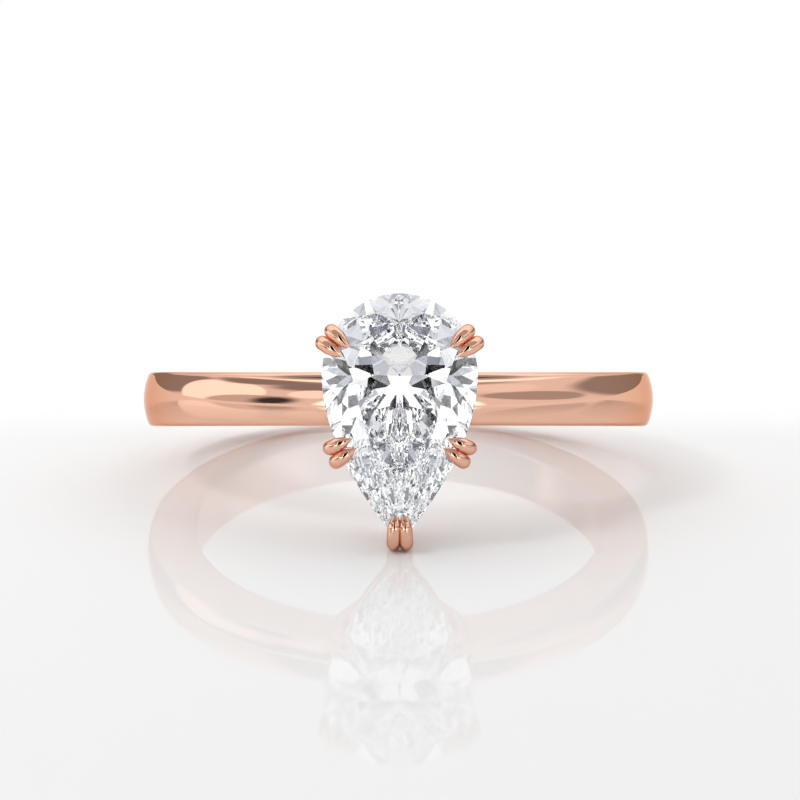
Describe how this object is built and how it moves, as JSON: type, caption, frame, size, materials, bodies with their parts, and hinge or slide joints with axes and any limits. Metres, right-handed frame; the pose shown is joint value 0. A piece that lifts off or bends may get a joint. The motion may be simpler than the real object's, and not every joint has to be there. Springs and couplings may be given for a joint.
{
  "type": "engagement ring",
  "caption": "Pear-cut solitaire ring: a stone held point down by paired claws in a low basket on a plain tapered shank.",
  "frame": {"origin": "centre of the finger bore, half way across the shank's width", "axes": "+Z along the finger axis, towards the stone's round end; -Y out through the stone's table; +X to the viewer's right when the stone is seen from the front with its point down"},
  "size_m": [0.0204, 0.0223, 0.0089],
  "materials": {
    "rose_gold_shank": "mirror polished rose gold",
    "rose_gold_head": "polished rose gold",
    "rose_gold_claws": "mirror polished rose gold",
    "diamond": "flat polished facets, colourless"
  },
  "bodies": {
    "root": {"shank": "rose_gold_shank", "base_rail": "rose_gold_head", "seat_rail": "rose_gold_head", "diamond": "diamond", "upper_left_claw_a": "rose_gold_claws", "upper_left_claw_b": "rose_gold_claws", "upper_right_claw_a": "rose_gold_claws", "upper_right_claw_b": "rose_gold_claws", "lower_left_claw_a": "rose_gold_claws", "lower_left_claw_b": "rose_gold_claws", "lower_right_claw_a": "rose_gold_claws", "lower_right_claw_b": "rose_gold_claws", "tip_claw_left": "rose_gold_claws", "tip_claw_right": "rose_gold_claws"}
  },
  "joints": []
}
